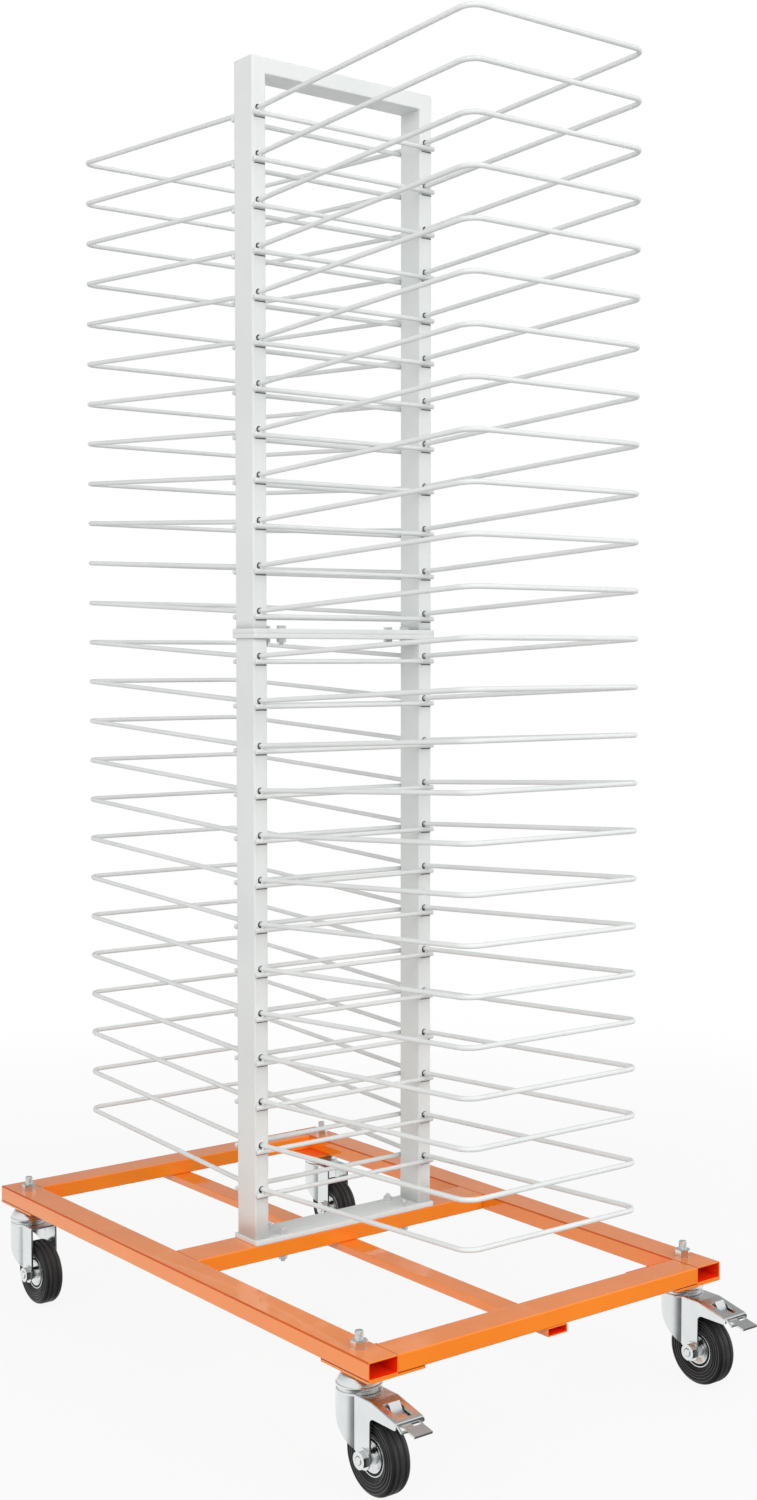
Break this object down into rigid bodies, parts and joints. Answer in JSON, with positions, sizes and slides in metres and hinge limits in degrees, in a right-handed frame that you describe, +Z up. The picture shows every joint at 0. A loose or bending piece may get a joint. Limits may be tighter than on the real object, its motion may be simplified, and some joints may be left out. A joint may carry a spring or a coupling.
{
  "type": "art drying rack",
  "caption": "Mobile drying rack with an orange tube base on braked swivel casters, a white bolted upright frame and tiers of rising wire shelves to the front and back.",
  "frame": {"origin": "on the floor below the middle of the outline, between the four wheels", "axes": "+Z up, +X along the cross rails, +Y from the braked casters towards the back"},
  "size_m": [0.5476, 0.8942, 1.5965],
  "materials": {
    "orange_paint": "gloss",
    "white_coat": "satin powder coat",
    "zinc": "bright zinc plate",
    "rubber": "matte rubber"
  },
  "bodies": {
    "rack": {"base_left_rail": "orange_paint", "base_right_rail": "orange_paint", "base_front_rail": "orange_paint", "base_middle_rail": "orange_paint", "base_back_rail": "orange_paint", "base_stringer": "orange_paint", "lower_frame": "white_coat", "upper_frame": "white_coat", "foot_stud_1": "zinc", "foot_stud_2": "zinc", "foot_stud_3": "zinc", "foot_stud_4": "zinc", "joint_stud_1": "zinc", "joint_stud_2": "zinc", "joint_stud_3": "zinc", "joint_stud_4": "zinc", "shelf_01": "white_coat", "shelf_02": "white_coat", "shelf_03": "white_coat", "shelf_04": "white_coat", "shelf_05": "white_coat", "shelf_06": "white_coat", "shelf_07": "white_coat", "shelf_08": "white_coat", "shelf_09": "white_coat", "shelf_10": "white_coat", "shelf_11": "white_coat", "shelf_12": "white_coat", "shelf_13": "white_coat", "shelf_14": "white_coat", "shelf_15": "white_coat", "shelf_16": "white_coat", "shelf_17": "white_coat", "shelf_18": "white_coat", "shelf_19": "white_coat", "shelf_20": "white_coat", "shelf_21": "white_coat", "shelf_22": "white_coat", "shelf_23": "white_coat", "shelf_24": "white_coat", "shelf_25": "white_coat", "caster_fl_stem": "zinc", "caster_fr_stem": "zinc", "caster_bl_stem": "zinc", "caster_br_stem": "zinc"},
    "caster_fl": {"caster_fl_fork": "zinc"},
    "caster_fl_wheel": {"caster_fl_hub": "zinc", "caster_fl_tyre": "rubber"},
    "caster_fl_pedal": {"caster_fl_brake": "zinc"},
    "caster_fr": {"caster_fr_fork": "zinc"},
    "caster_fr_wheel": {"caster_fr_hub": "zinc", "caster_fr_tyre": "rubber"},
    "caster_fr_pedal": {"caster_fr_brake": "zinc"},
    "caster_bl": {"caster_bl_fork": "zinc"},
    "caster_bl_wheel": {"caster_bl_hub": "zinc", "caster_bl_tyre": "rubber"},
    "caster_br": {"caster_br_fork": "zinc"},
    "caster_br_wheel": {"caster_br_hub": "zinc", "caster_br_tyre": "rubber"}
  },
  "joints": [
    {"name": "caster_fl_swivel", "type": "hinge", "parent": "rack", "child": "caster_fl", "pos_m": [-0.24675, -0.33887, 0.1055], "axis": [0, 0, 1], "continuous": true},
    {"name": "caster_fl_roll", "type": "hinge", "parent": "caster_fl", "child": "caster_fl_wheel", "pos_m": [-0.24675, -0.37187, 0.042], "axis": [1, 0, 0], "continuous": true},
    {"name": "caster_fl_brake_press", "type": "hinge", "parent": "caster_fl", "child": "caster_fl_pedal", "pos_m": [-0.24675, -0.38687, 0.098], "axis": [1, 0, 0], "range_deg": [0, 7]},
    {"name": "caster_fr_swivel", "type": "hinge", "parent": "rack", "child": "caster_fr", "pos_m": [0.24825, -0.33887, 0.1055], "axis": [0, 0, 1], "continuous": true},
    {"name": "caster_fr_roll", "type": "hinge", "parent": "caster_fr", "child": "caster_fr_wheel", "pos_m": [0.24825, -0.37187, 0.042], "axis": [1, 0, 0], "continuous": true},
    {"name": "caster_fr_brake_press", "type": "hinge", "parent": "caster_fr", "child": "caster_fr_pedal", "pos_m": [0.24825, -0.38687, 0.098], "axis": [1, 0, 0], "range_deg": [0, 7]},
    {"name": "caster_bl_swivel", "type": "hinge", "parent": "rack", "child": "caster_bl", "pos_m": [-0.24675, 0.40513, 0.1055], "axis": [0, 0, 1], "continuous": true},
    {"name": "caster_bl_roll", "type": "hinge", "parent": "caster_bl", "child": "caster_bl_wheel", "pos_m": [-0.24675, 0.37213, 0.042], "axis": [1, 0, 0], "continuous": true},
    {"name": "caster_br_swivel", "type": "hinge", "parent": "rack", "child": "caster_br", "pos_m": [0.24825, 0.40513, 0.1055], "axis": [0, 0, 1], "continuous": true},
    {"name": "caster_br_roll", "type": "hinge", "parent": "caster_br", "child": "caster_br_wheel", "pos_m": [0.24825, 0.37213, 0.042], "axis": [1, 0, 0], "continuous": true}
  ]
}
